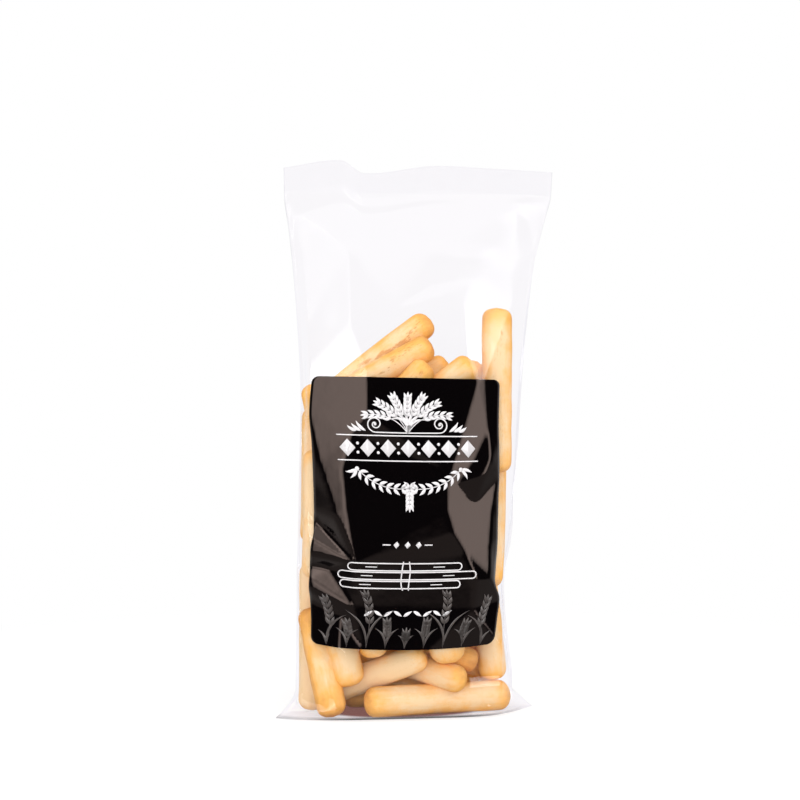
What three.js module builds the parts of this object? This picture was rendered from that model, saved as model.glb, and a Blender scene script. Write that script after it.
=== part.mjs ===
// A clear film pack of mini breadsticks, standing on its own folded base: a tube of film sealed flat
// across the top, full and rounded in the body, and squashed flat under the contents, so that the two
// corners of its bottom seal stick out as ears. A black label with round corners is stuck on the front.
// Millimetres, +Z up. The front faces -Y. The origin is the middle of the base, on the ground.
import * as THREE from "three";

// The film tube.
const SEAL_BOTTOM = 201.5; // where the top seal begins
const SEAL_TOP = 211.4; // mean height of the cut top edge
const SEAL_HALF_THICKNESS = 0.5;
const AROUND = 72; // points round each section, a multiple of four
const RING_STEP = 6.0; // height between sections in the body

// Sections of the tube by height: where its left and right sides are, half its depth, and the power and
// exponent of its outline y = depth (1 - |x|^exponent)^power, which is a pointed lens under the seal and
// a rounded rectangle round the contents.
const SECTIONS = [
  { z: 0.0, left: -43.4, right: 36.6, depth: 18.4, power: 0.3, exponent: 4.0 },
  { z: 3.0, left: -45.4, right: 38.6, depth: 20.4, power: 0.33, exponent: 3.8 },
  { z: 9.0, left: -45.6, right: 38.6, depth: 21.0, power: 0.36, exponent: 3.5 },
  { z: 24.0, left: -45.4, right: 36.8, depth: 21.6, power: 0.4, exponent: 3.2 },
  { z: 40.0, left: -45.2, right: 35.2, depth: 21.8, power: 0.42, exponent: 3.0 },
  { z: 54.0, left: -45.2, right: 35.0, depth: 21.8, power: 0.43, exponent: 3.0 },
  { z: 66.0, left: -44.8, right: 37.4, depth: 21.6, power: 0.43, exponent: 3.0 },
  { z: 88.0, left: -44.4, right: 39.6, depth: 21.2, power: 0.43, exponent: 3.0 },
  { z: 124.0, left: -43.8, right: 41.9, depth: 20.6, power: 0.45, exponent: 2.8 },
  { z: 152.0, left: -45.2, right: 44.8, depth: 18.6, power: 0.55, exponent: 2.4 },
  { z: 172.0, left: -46.8, right: 47.8, depth: 14.2, power: 0.72, exponent: 2.1 },
  { z: 188.0, left: -48.6, right: 51.6, depth: 8.2, power: 0.9, exponent: 2.0 },
  { z: 198.0, left: -50.0, right: 54.4, depth: 2.4, power: 0.9, exponent: 2.4 },
  { z: 201.5, left: -50.2, right: 55.2, depth: 0.5, power: 0.3, exponent: 8.0 },
  { z: 216.0, left: -50.4, right: 56.0, depth: 0.5, power: 0.3, exponent: 8.0 },
];

// The ears: each is a wedge of film that leaves the side wall at EAR_HEIGHT and runs out to a tip on the
// ground, at x and y.
const EAR_HEIGHT = 8.6;
const EAR_HALF_DEPTH = 15.0;
const EAR_TIP_LEFT = { x: -55.6, y: -2.0 };
const EAR_TIP_RIGHT = { x: 48.6, y: 4.0 };

// The seal's cut edge, by x: how far it stands over or under SEAL_TOP, and how far it waves to the back.
const SEAL_WAVE = [
  { x: -50.4, up: -0.9, back: -1.5 },
  { x: -28.0, up: 2.6, back: -3.0 },
  { x: -19.0, up: -2.2, back: 2.6 },
  { x: 8.0, up: 1.0, back: 0.4 },
  { x: 32.0, up: 0.2, back: -1.6 },
  { x: 56.0, up: -0.6, back: 1.4 },
];
const WAVE_START = 158.0; // the film waves with the seal from here up

// Creases pressed into the front and the back of the film: a straight line from one point (x, z) to
// another, how deep it lies, negative where it stands out, and how far it reaches to each side.
const FRONT_CREASES = [
  { from: [-19, 205], to: [-24, 140], depth: 3.0, reach: 11 },
  { from: [-47, 200], to: [-31, 148], depth: -1.6, reach: 9 },
  { from: [40, 202], to: [12, 184], depth: 2.2, reach: 10 },
  { from: [47, 190], to: [29, 132], depth: -1.5, reach: 8 },
  { from: [-22, 180], to: [34, 177], depth: 1.1, reach: 12 },
  { from: [29, 131], to: [36, 99], depth: 1.2, reach: 8 },
  { from: [30, 128], to: [14, 66], depth: -0.9, reach: 10 },
  { from: [-40, 112], to: [-22, 62], depth: 1.0, reach: 9 },
  { from: [-41, 74], to: [-24, 58], depth: 1.0, reach: 6 },
  { from: [36, 60], to: [28, 52], depth: 1.6, reach: 5 },
];
const BACK_CREASES = [
  { from: [-30, 205], to: [-20, 150], depth: -1.8, reach: 10 },
  { from: [14, 204], to: [22, 148], depth: 2.6, reach: 11 },
  { from: [-44, 196], to: [-12, 172], depth: 1.4, reach: 10 },
  { from: [46, 192], to: [26, 140], depth: -1.5, reach: 9 },
  { from: [-36, 120], to: [-16, 70], depth: 1.0, reach: 9 },
  { from: [34, 118], to: [18, 60], depth: -0.9, reach: 9 },
  { from: [-40, 50], to: [30, 44], depth: 0.9, reach: 9 },
];

// The crumple of stiff film: straight pleats of falling length in turning directions, which meet in flat
// facets with sharp edges.
const PLEAT_COUNT = 5;
const PLEAT_LONGEST = 64.0;
const PLEAT_SHRINK = 0.74;
const PLEAT_TURN = 2.399; // radians from one to the next
const PLEAT_SLOPE = 0.014; // height of a pleat over its length
const CRUMPLE_LOOSE = 2.1; // how much more the empty top crumples than the full body

// The label, a sheet stuck on the front: its edges by x and z at rest, before it is turned.
const LABEL_LEFT = -40.2;
const LABEL_RIGHT = 30.8;
const LABEL_BOTTOM = 28.0;
const LABEL_TOP = 129.2;
const LABEL_CORNER = 2.6;
const LABEL_TURN = -0.021; // radians, clockwise from the front
const LABEL_GAP = 0.5; // clear of the film
const LABEL_THICKNESS = 0.35;
const LABEL_COLUMNS = 18;
const LABEL_ROWS = 18;

const FILM = { color: 0xf2f1f5, roughness: 0.12, metalness: 0.0 };
const LABEL = { color: 0x0b090b, roughness: 0.25, metalness: 0.0 };

// The value of a key at a place along a list of stations, on one smooth curve through them.
function along(stations, place, at, key) {
  const last = stations.length - 1;
  let n = 0;
  while (n < last - 1 && at > stations[n + 1][place]) n += 1;
  const station = (k) => stations[Math.min(last, Math.max(0, k))];
  const [before, low, high, after] = [station(n - 1), station(n), station(n + 1), station(n + 2)];
  const span = high[place] - low[place];
  const t = Math.min(1, Math.max(0, (at - low[place]) / span));
  const slope = (a, b) => (a === b ? 0 : ((b[key] - a[key]) / (b[place] - a[place])) * span);
  const start = slope(before, high);
  const end = slope(low, after);
  return (
    low[key] * (1 + 2 * t) * (1 - t) ** 2 +
    start * t * (1 - t) ** 2 +
    high[key] * t * t * (3 - 2 * t) +
    end * t * t * (t - 1)
  );
}

function sectionAt(z) {
  const value = (key) => along(SECTIONS, "z", z, key);
  const left = value("left");
  const right = value("right");
  return {
    middle: (left + right) / 2,
    halfWidth: (right - left) / 2,
    depth: value("depth"),
    power: value("power"),
    exponent: value("exponent"),
  };
}

// Half the depth of a section's plain outline at a share, 0 to 1, of its half width.
function outline(section, share) {
  return section.depth * Math.max(0, 1 - share ** section.exponent) ** section.power;
}

function ramp(value, from, to) {
  const t = Math.min(1, Math.max(0, (value - from) / (to - from)));
  return t * t * (3 - 2 * t);
}

// A wave of straight slopes between -1 and 1, which repeats at each whole number.
function pleat(phase) {
  return 4 * Math.abs(phase - Math.floor(phase + 0.5)) - 1;
}

function crumple(x, z, side) {
  let height = 0;
  let length = PLEAT_LONGEST;
  for (let n = 0; n < PLEAT_COUNT; n += 1) {
    const angle = PLEAT_TURN * n + 0.9 * side;
    height += length * pleat((x * Math.cos(angle) + z * Math.sin(angle)) / length + 0.37 * n);
    length *= PLEAT_SHRINK;
  }
  return height * PLEAT_SLOPE * (1 + (CRUMPLE_LOOSE - 1) * ramp(z, 120, 175));
}

function crease({ from, to, depth, reach }, x, z) {
  const [dx, dz] = [to[0] - from[0], to[1] - from[1]];
  const t = Math.min(1, Math.max(0, ((x - from[0]) * dx + (z - from[1]) * dz) / (dx * dx + dz * dz)));
  const away = Math.hypot(x - from[0] - t * dx, z - from[1] - t * dz);
  return -depth * Math.max(0, 1 - away / reach) * (1 - 0.6 * t);
}

// How far the film stands out of its plain outline, on the front (side -1) or the back (side 1).
function relief(x, z, side) {
  const creases = side < 0 ? FRONT_CREASES : BACK_CREASES;
  const pressed = creases.reduce((sum, line) => sum + crease(line, x, z), 0);
  const free = ramp(z, 2, 16) * (1 - ramp(z, 190, SEAL_BOTTOM));
  return free * (pressed + crumple(x, z, side));
}

// The waves of the seal, which fade out in the film below it.
function sealWave(x, z) {
  const share = ramp(z, WAVE_START, SEAL_BOTTOM);
  return {
    up: share * along(SEAL_WAVE, "x", x, "up"),
    back: share * along(SEAL_WAVE, "x", x, "back"),
  };
}

// A point of the film's outside: at x and height z, on the front (side -1) or the back (side 1).
function filmPoint(x, z, side) {
  const section = sectionAt(z);
  const share = Math.min(1, Math.abs(x - section.middle) / section.halfWidth);
  const depth = outline(section, share) + relief(x, z, side) * (1 - share ** 4);
  const wave = sealWave(x, z);
  return new THREE.Vector3(x, side * Math.max(SEAL_HALF_THICKNESS * 0.2, depth) + wave.back, z + wave.up);
}

// A section's shares of its half width from its side, 1, to its middle, 0, at equal steps round the film.
function sharesAround(section, steps) {
  const fine = 400;
  const points = Array.from({ length: fine + 1 }, (_, n) => {
    const share = Math.cos(((Math.PI / 2) * n) / fine);
    return [share, share * section.halfWidth, outline(section, share)];
  });
  const lengths = [0];
  for (let n = 1; n <= fine; n += 1) {
    const [a, b] = [points[n - 1], points[n]];
    lengths.push(lengths[n - 1] + Math.hypot(b[1] - a[1], b[2] - a[2]));
  }
  return Array.from({ length: steps + 1 }, (_, k) => {
    const wanted = (lengths[fine] * k) / steps;
    const n = Math.max(1, lengths.findIndex((length) => length >= wanted - 1e-9));
    const t = (wanted - lengths[n - 1]) / (lengths[n] - lengths[n - 1]);
    return points[n - 1][0] + (points[n][0] - points[n - 1][0]) * t;
  });
}

// An ear's reach beyond its side wall at a point of the film.
function earReach(y, z, wall, tip) {
  const [low, near] = [1 - z / EAR_HEIGHT, 1 - Math.abs(y - tip.y) / EAR_HALF_DEPTH];
  return (tip.x - wall) * Math.max(0, low) * Math.max(0, near);
}

// One section of the film as AROUND points: the front from right to left, then the back to the right.
function ring(z) {
  const section = sectionAt(z);
  const quarter = AROUND / 4;
  const shares = sharesAround(section, quarter);
  return Array.from({ length: AROUND }, (_, n) => {
    const side = n < AROUND / 2 ? -1 : 1;
    const step = n % (AROUND / 2);
    const share = step <= quarter ? shares[step] : shares[2 * quarter - step];
    const hand = (step <= quarter ? 1 : -1) * -side;
    const point = filmPoint(section.middle + hand * share * section.halfWidth, z, side);
    const isSide = step === 0;
    if (isSide) point.y = sealWave(point.x, z).back;
    const wall = section.middle + hand * section.halfWidth;
    point.x += share * earReach(point.y, z, wall, hand > 0 ? EAR_TIP_RIGHT : EAR_TIP_LEFT);
    return point;
  });
}

function ringHeights() {
  const base = [0, 1.4, 3.2, 5.4, EAR_HEIGHT, 12.4];
  const bodyTop = 194;
  const steps = Math.round((bodyTop - base[base.length - 1]) / RING_STEP);
  const start = base[base.length - 1];
  const body = Array.from({ length: steps }, (_, n) => start + ((bodyTop - start) * (n + 1)) / steps);
  const seal = [196.5, 199, SEAL_BOTTOM, 204.8, 208.1, SEAL_TOP];
  return [...base, ...body, ...seal];
}

function meshGeometry(positions, faces) {
  const geometry = new THREE.BufferGeometry();
  geometry.setAttribute("position", new THREE.Float32BufferAttribute(positions, 3));
  geometry.setIndex(faces);
  geometry.computeVertexNormals();
  return geometry;
}

// A list of faces, and a way to add a four-sided one as two triangles, or one where two corners are the same.
function faceList() {
  const faces = [];
  const triangle = (a, b, c) => {
    if (a !== b && b !== c && a !== c) faces.push(a, b, c);
  };
  const quad = (a, b, c, d) => {
    triangle(a, b, c);
    triangle(a, c, d);
  };
  return { faces, triangle, quad };
}

// The film as one closed mesh: walls between its sections, a flat base, and a narrow top edge.
function filmGeometry() {
  const rings = ringHeights().map(ring);
  const positions = rings.flat().flatMap((point) => [point.x, point.y, point.z]);
  const { faces, triangle, quad } = faceList();
  for (let r = 0; r < rings.length - 1; r += 1) {
    for (let n = 0; n < AROUND; n += 1) {
      const [a, b] = [r * AROUND + n, r * AROUND + ((n + 1) % AROUND)];
      quad(a, a + AROUND, b + AROUND, b);
    }
  }
  const centre = positions.length / 3;
  positions.push(0, 0, 0);
  for (let n = 0; n < AROUND; n += 1) triangle(centre, n, (n + 1) % AROUND);
  const top = (rings.length - 1) * AROUND;
  const front = (n) => top + n;
  const back = (n) => top + ((AROUND - n) % AROUND);
  for (let n = 0; n < AROUND / 2; n += 1) quad(front(n + 1), front(n), back(n), back(n + 1));
  return meshGeometry(positions, faces);
}

// How far a row of the label is drawn in at each end, so that its corners are round.
function cornerInset(z) {
  const nearEnd = Math.min(z - LABEL_BOTTOM, LABEL_TOP - z);
  const rise = Math.max(0, LABEL_CORNER - nearEnd);
  return LABEL_CORNER - Math.sqrt(Math.max(0, LABEL_CORNER ** 2 - rise ** 2));
}

function labelHeights() {
  const corner = [0, 0.3, 1.1].map((rise) => LABEL_BOTTOM + rise);
  const [low, high] = [LABEL_BOTTOM + LABEL_CORNER, LABEL_TOP - LABEL_CORNER];
  const middle = Array.from({ length: LABEL_ROWS + 1 }, (_, n) => low + ((high - low) * n) / LABEL_ROWS);
  return [...corner, ...middle, ...corner.map((z) => LABEL_TOP + LABEL_BOTTOM - z).reverse()];
}

// A point of the label's sheet, clear of the film by a gap: x and z are the label's own, before its turn.
function labelPoint(x, z, gap) {
  const [middleX, middleZ] = [(LABEL_LEFT + LABEL_RIGHT) / 2, (LABEL_BOTTOM + LABEL_TOP) / 2];
  const [dx, dz] = [x - middleX, z - middleZ];
  const turnedX = middleX + dx * Math.cos(LABEL_TURN) - dz * Math.sin(LABEL_TURN);
  const turnedZ = middleZ + dx * Math.sin(LABEL_TURN) + dz * Math.cos(LABEL_TURN);
  const point = filmPoint(turnedX, turnedZ, -1);
  point.y -= gap;
  return point;
}

function labelGeometry() {
  const heights = labelHeights();
  const rows = heights.length;
  const columns = LABEL_COLUMNS + 1;
  const positions = [];
  for (const gap of [LABEL_GAP + LABEL_THICKNESS, LABEL_GAP]) {
    for (const z of heights) {
      const inset = cornerInset(z);
      const [low, high] = [LABEL_LEFT + inset, LABEL_RIGHT - inset];
      for (let c = 0; c < columns; c += 1) {
        const point = labelPoint(low + ((high - low) * c) / LABEL_COLUMNS, z, gap);
        positions.push(point.x, point.y, point.z);
      }
    }
  }
  const at = (layer, r, c) => (layer * rows + r) * columns + c;
  const { faces, quad } = faceList();
  for (let r = 0; r < rows - 1; r += 1) {
    for (let c = 0; c < LABEL_COLUMNS; c += 1) {
      quad(at(0, r, c), at(0, r, c + 1), at(0, r + 1, c + 1), at(0, r + 1, c));
      quad(at(1, r, c), at(1, r + 1, c), at(1, r + 1, c + 1), at(1, r, c + 1));
    }
    quad(at(0, r, 0), at(0, r + 1, 0), at(1, r + 1, 0), at(1, r, 0));
    quad(at(0, r, columns - 1), at(1, r, columns - 1), at(1, r + 1, columns - 1), at(0, r + 1, columns - 1));
  }
  for (let c = 0; c < LABEL_COLUMNS; c += 1) {
    quad(at(0, 0, c), at(1, 0, c), at(1, 0, c + 1), at(0, 0, c + 1));
    quad(at(0, rows - 1, c), at(0, rows - 1, c + 1), at(1, rows - 1, c + 1), at(1, rows - 1, c));
  }
  return meshGeometry(positions, faces);
}

function piece(name, geometry, finish) {
  const mesh = new THREE.Mesh(geometry, new THREE.MeshStandardMaterial(finish));
  mesh.name = name;
  return mesh;
}

const pack = new THREE.Group();
pack.add(piece("bag", filmGeometry(), FILM));
pack.add(piece("label", labelGeometry(), LABEL));

export default pack;
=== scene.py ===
"""A clear film pack of mini breadsticks, standing on its own base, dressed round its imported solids.

The film is one closed skin, the breadsticks lie inside it as one piece, and the label is a glossy sheet on
the front with its print as thin shapes on top. Sizes are in millimetres until a mesh is made. +Z is up,
the front with the label faces -Y, and the origin is the middle of the base.
"""

import cmath
import math
import random

import bpy
import numpy as np
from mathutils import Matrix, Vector
from mathutils.geometry import delaunay_2d_cdt


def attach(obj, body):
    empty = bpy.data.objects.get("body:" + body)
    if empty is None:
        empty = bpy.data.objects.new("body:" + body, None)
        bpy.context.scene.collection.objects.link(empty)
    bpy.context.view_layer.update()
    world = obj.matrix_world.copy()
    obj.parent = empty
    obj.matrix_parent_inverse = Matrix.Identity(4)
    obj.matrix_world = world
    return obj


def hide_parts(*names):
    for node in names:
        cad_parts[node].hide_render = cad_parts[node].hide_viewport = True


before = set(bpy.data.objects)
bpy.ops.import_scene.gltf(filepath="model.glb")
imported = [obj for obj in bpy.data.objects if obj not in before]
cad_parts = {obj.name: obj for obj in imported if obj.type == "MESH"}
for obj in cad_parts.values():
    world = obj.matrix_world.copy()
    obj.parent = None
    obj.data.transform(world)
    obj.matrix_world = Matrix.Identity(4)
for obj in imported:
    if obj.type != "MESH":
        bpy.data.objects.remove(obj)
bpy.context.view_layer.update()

MM = 0.001

# ---------------------------------------------------------------- the film's form, as in the solids

SEAL_BOTTOM = 201.5
SEAL_TOP = 211.4
LEAST_HALF_DEPTH = 0.1  # of the film, where it closes at its sides

# Height, left side, right side, half depth, and the power and exponent of the section's outline.
SECTIONS = (
    (0.0, -43.4, 36.6, 17.4, 0.30, 4.0),
    (3.0, -45.4, 38.6, 20.4, 0.33, 3.8),
    (9.0, -45.6, 38.6, 21.0, 0.36, 3.5),
    (24.0, -45.4, 36.8, 21.6, 0.40, 3.2),
    (40.0, -45.2, 35.2, 21.8, 0.42, 3.0),
    (54.0, -45.2, 35.0, 21.8, 0.43, 3.0),
    (66.0, -44.8, 37.4, 21.6, 0.43, 3.0),
    (88.0, -44.4, 39.6, 21.2, 0.43, 3.0),
    (124.0, -43.8, 41.9, 20.6, 0.45, 2.8),
    (152.0, -45.2, 44.8, 18.6, 0.55, 2.4),
    (172.0, -46.8, 47.8, 14.2, 0.72, 2.1),
    (188.0, -48.6, 51.6, 8.2, 0.90, 2.0),
    (198.0, -50.0, 54.4, 2.4, 0.90, 2.4),
    (201.5, -50.2, 55.2, 0.5, 0.30, 8.0),
    (216.0, -50.4, 56.0, 0.5, 0.30, 8.0),
)

EAR_HEIGHT = 8.6
EAR_HALF_DEPTH = 15.0
EAR_TIP_LEFT = (-55.6, -9.0)
EAR_TIP_RIGHT = (48.6, 4.0)

# Place across, how far the cut edge stands up there, and how far it waves to the back.
SEAL_WAVE = (
    (-50.4, -0.9, -1.5),
    (-28.0, 2.4, -0.8),
    (-19.0, -2.2, 0.6),
    (8.0, 1.0, 0.4),
    (32.0, 0.2, -1.0),
    (56.0, -0.6, 0.4),
)
WAVE_START = 158.0

# Each crease of the back runs from one point (x, z) to another, with its depth and its reach to each side.
BACK_CREASES = (
    ((-34, 205), (-30, 150), -1.2, 12),
    ((34, 204), (32, 148), 1.4, 12),
    ((-36, 120), (-16, 70), 1.0, 9),
    ((34, 118), (18, 60), -0.9, 9),
    ((-40, 50), (30, 44), 0.9, 9),
)
CREASE_FADE = 0.6  # share of its depth that a crease loses along its run

# Crumples are a sum of waves of straight slopes, each shorter than the last and with another heading.
PLEAT_COUNT = 5
PLEAT_LONGEST = 64.0
PLEAT_SHRINK = 0.74
PLEAT_TURN = 2.399
PLEAT_SIDE_TURN = 0.9  # sets the front's headings apart from the back's
PLEAT_PHASE = 0.37
PLEAT_SLOPE = 0.014
CRUMPLE_LOOSE = 0.7  # their share over the empty top

# Pairs of heights between which something comes in or goes out.
EMPTY_FROM = (120, 175)
RELIEF_FROM, RELIEF_TO = (2, 16), (190, SEAL_BOTTOM)
FOLDS_FROM, FOLDS_TO = (4, 5), (195, 200)
DRAWN_FROM, DRAWN_TO = (3, 12), (150, 176)
RIBS_FROM, RIBS_TO = (SEAL_BOTTOM - 0.4, SEAL_BOTTOM + 0.4), (SEAL_TOP - 0.9, SEAL_TOP - 0.2)

LABEL_LEFT = -40.2
LABEL_RIGHT = 30.8
LABEL_BOTTOM = 28.0
LABEL_TOP = 129.2
LABEL_CORNER = 2.6
LABEL_BOTTOM_SAG = 1.7  # lower at its middle than at its corners

# The label's two sides, as heights with the places of its left and right edge.
LABEL_SIDES = (
    (26.0, -40.8, 27.6),
    (31.8, -40.7, 29.2),
    (38.2, -40.6, 30.4),
    (45.1, -40.9, 31.5),
    (50.5, -41.6, 29.7),
    (56.7, -41.0, 30.0),
    (65.2, -41.0, 30.7),
    (71.6, -39.6, 30.9),
    (83.0, -39.6, 31.2),
    (94.0, -40.0, 31.5),
    (105.8, -40.6, 31.2),
    (116.1, -41.4, 31.2),
    (132.0, -40.2, 31.7),
)
LABEL_CORNERS = ((28.9, 28.2), (130.1, 128.7))  # heights of the lower and the upper ones, left and right

# The folds of the front, as lines through points (x, z) with the depth of the film there. Between them it
# lies in flat facets.
FOLDS = (
    # down the left side and down the right side
    (
        (-45, 192, 1.2), (-44, 177, 4.4), (-42, 150, 8.6), (-41.6, 133, 12.0), (-41.8, 116, 12.2),
        (-42.4, 105, 10.6), (-42.2, 93, 9.8), (-41.8, 80, 9.4), (-41.8, 74, 9.8), (-41.8, 69.7, 13.0),
        (-41.8, 62.8, 13.3), (-41.5, 58, 9.8), (-41.5, 53.7, 12.6), (-41.5, 49.9, 12.9), (-41.5, 45, 9.8),
        (-41, 28, 12.0), (-42.2, 22.8, 12.8), (-41, 10, 12.4),
    ),
    (
        (44, 192, 2.6), (42, 176, 6.6), (40, 163, 7.8), (38, 150, 9.6), (37, 133, 11.6), (34, 108, 13.2),
        (33.6, 92, 12.8), (33.5, 70, 12.4), (33, 51, 11.4), (33.5, 44, 13.4), (32, 27, 17.3), (34, 22, 13.0),
        (35, 10, 12.8),
    ),
    # round the long facet at the upper left
    ((-41.8, 116, 12.2), (-37.9, 97.4, 14.8), (-33.3, 82.5, 17.4), (-31.8, 76.5, 18.2), (-24.9, 59.8, 21.0)),
    ((-20, 132, 20.4), (-19.9, 116, 20.7), (-26, 108, 19.0), (-29.5, 95, 18.7), (-28.3, 82, 19.8),
     (-24.9, 59.8, 21.0)),
    # two narrow ones under it, with hollows between
    ((-41.8, 69.7, 13.0), (-24.9, 59.8, 21.0), (-41.8, 62.8, 13.3)),
    ((-41.5, 53.7, 12.6), (-25.5, 43.1, 20.4), (-41.5, 49.9, 12.9)),
    ((-36, 72, 11.0),), ((-34, 57, 12.8),), ((-30, 40, 17.0),), ((-31, 28, 20.0),),
    # round the facet at the upper right
    ((21.6, 127.5, 20.6), (15.5, 107.7, 21.4), (11.2, 93.6, 22.1), (9.7, 88.7, 22.4)),
    ((21.6, 127.5, 20.6), (26.6, 110, 18.2), (21.6, 99.3, 19.1), (14.3, 89.8, 21.0), (9.7, 88.7, 22.4)),
    ((25, 93, 19.6),), ((27.5, 99, 18.8),),
    # round the one under it
    ((9.7, 79.2, 22.4), (12.4, 70.5, 22.4), (17.0, 63.2, 21.6), (27.3, 53.4, 18.4)),
    ((9.7, 79.2, 22.4), (21.2, 81.9, 18.6), (30.8, 91.4, 15.4), (28.5, 79.2, 16.4), (27.3, 65.9, 18.0),
     (27.3, 53.4, 18.4)),
    ((21, 54, 22.0),),
    # over the label: round the broad facet under the seal, then down its middle fold to the label
    ((-27, 195, 1.9), (-4, 196, 2.0), (20, 196, 2.4), (12.2, 181.8, 9.6), (6.7, 177.6, 12.0),
     (-26, 177, 11.8), (-27, 195, 1.9)),
    ((-26, 177, 11.8), (-26, 150, 16.6), (-20, 132, 20.4)),
    # the right part: a slanting facet, a narrow one under it, and two more down to the label
    ((12.2, 181.8, 9.6), (32.2, 192.2, 5.0), (40.3, 196, 2.8), (40.3, 189.5, 4.9), (29.8, 180, 8.6),
     (16.5, 180, 9.8), (12.2, 181.8, 9.6)),
    ((6.7, 177.6, 12.0), (16.5, 175.6, 12.2), (24, 175.3, 11.4), (37, 176, 8.2)),
    ((5.5, 164.5, 14.2), (24, 168.5, 12.0), (37, 170, 9.4)),
    ((5.5, 160.5, 16.2), (20, 166, 13.4), (24, 168.5, 12.0)),
    ((20, 166, 13.4), (17.5, 158, 15.6), (18.5, 137, 19.4), (21.6, 127.5, 20.6)),
    ((38.1, 159, 9.4), (31.6, 143.8, 14.1), (25.4, 129.4, 19.2), (21.6, 127.5, 20.6)),
    ((-9, 156, 17.0),), ((6, 146, 18.8),), ((6, 134, 20.6),),
    # low down
    ((20, 42, 21.4),), ((-22, 27, 21.2),), ((0, 24, 21.9),), ((19, 27, 20.8),), ((-28.5, 25.5, 20.8),),
    ((-42.2, 22.8, 12.8), (-34.5, 23.3, 16.7), (-27.0, 13.3, 21.2), (-37.6, 12.4, 15.9), (-42.2, 22.8, 12.8)),
    ((18.5, 16.6, 20.4), (32, 16.6, 16.7), (32, 10.6, 17.2), (18.5, 10.6, 20.9), (18.5, 16.6, 20.4)),
    ((-22, 18, 21.6),),
    ((-33, 4, 18.2),), ((-24, 4, 20.2),), ((0, 5, 21.0),), ((20, 4, 20.0),), ((31, 4, 16.6),),
)
FOLD_SIDE = 0.97  # share of the half width where the facets end
FOLD_SIDE_STEP = 11.0  # between heights of their outermost corners


def along(stations, at):
    """The columns of a table at places along its first column, on one smooth curve through its rows."""
    table = np.asarray(stations, float)
    at = np.asarray(at, float)
    places, values = table[:, 0], table[:, 1:]
    last = len(places) - 1
    low = np.clip(np.searchsorted(places, at, side="left") - 1, 0, last - 1)
    before, high, after = np.maximum(low - 1, 0), low + 1, np.minimum(low + 2, last)
    step = places[high] - places[low]
    t = np.clip((at - places[low]) / step, 0.0, 1.0)[..., None]
    start = (values[high] - values[before]) * (step / (places[high] - places[before]))[..., None]
    end = (values[after] - values[low]) * (step / (places[after] - places[low]))[..., None]
    curve = values[low] * (1 + 2 * t) * (1 - t) ** 2 + start * t * (1 - t) ** 2
    curve = curve + values[high] * t * t * (3 - 2 * t) + end * t * t * (t - 1)
    return np.moveaxis(curve, -1, 0)


def outline(share, depth, power, exponent):
    """Half the depth of a section at a share of its half width."""
    return depth * np.maximum(0.0, 1 - share**exponent) ** power


def ramp(value, start, end):
    """A smooth rise from 0 at one value to 1 at another."""
    t = np.clip((value - start) / (end - start), 0.0, 1.0)
    return t * t * (3 - 2 * t)


def between(value, rise, fall):
    """A smooth rise from 0 to 1 over one pair of values, and a fall back to 0 over another."""
    return ramp(value, *rise) * (1 - ramp(value, *fall))


def pleat(phase):
    """A wave of straight slopes between -1 and 1, which repeats at each whole number."""
    return 4 * np.abs(phase - np.floor(phase + 0.5)) - 1


def crumple(x, z, side):
    height, length = 0.0, PLEAT_LONGEST
    for n in range(PLEAT_COUNT):
        angle = PLEAT_TURN * n + PLEAT_SIDE_TURN * side
        height = height + length * pleat((x * np.cos(angle) + z * np.sin(angle)) / length + PLEAT_PHASE * n)
        length *= PLEAT_SHRINK
    return height * PLEAT_SLOPE * (1 + (CRUMPLE_LOOSE - 1) * ramp(z, *EMPTY_FROM))


def crease(line, x, z):
    (from_x, from_z), (to_x, to_z), depth, reach = line
    run_x, run_z = to_x - from_x, to_z - from_z
    t = np.clip(((x - from_x) * run_x + (z - from_z) * run_z) / (run_x**2 + run_z**2), 0, 1)
    away = np.hypot(x - from_x - t * run_x, z - from_z - t * run_z)
    return -depth * np.maximum(0, 1 - away / reach) * (1 - CREASE_FADE * t)


def relief(x, z, side):
    """How far the film stands out of its plain outline, on the front (side -1) or the back (side 1)."""
    pressed = sum(crease(line, x, z) for line in BACK_CREASES) if side > 0 else 0.0
    return between(z, RELIEF_FROM, RELIEF_TO) * (pressed + crumple(x, z, side))


def seal_wave(x, z):
    """How far the waved seal lifts the film and moves it to the back."""
    up, back = along(SEAL_WAVE, x)
    share = ramp(z, WAVE_START, SEAL_BOTTOM)
    return share * up, share * back


def side_folds():
    """Corners of the facets along the sides, where they meet the plain outline."""
    corners = []
    for z in np.arange(2.0, SEAL_BOTTOM, FOLD_SIDE_STEP):
        left, right, depth, power, exponent = along(SECTIONS, z)
        reach = FOLD_SIDE * (right - left) / 2
        at_side = outline(FOLD_SIDE, depth, power, exponent)
        corners += [((left + right) / 2 - reach, z, at_side), ((left + right) / 2 + reach, z, at_side)]
    return corners


def fold_triangles():
    """The facets of the front, each as its three corners (x, z, depth)."""
    corners, joins = side_folds(), []
    for fold in FOLDS:
        joins += [(len(corners) + n, len(corners) + n + 1) for n in range(len(fold) - 1)]
        corners += fold
    cut = delaunay_2d_cdt([Vector(corner[:2]) for corner in corners], joins, [], 0, 1e-4)
    faces, sources = cut[2], cut[3]
    return [np.array([corners[sources[n][0]] for n in face]) for face in faces]


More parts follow.
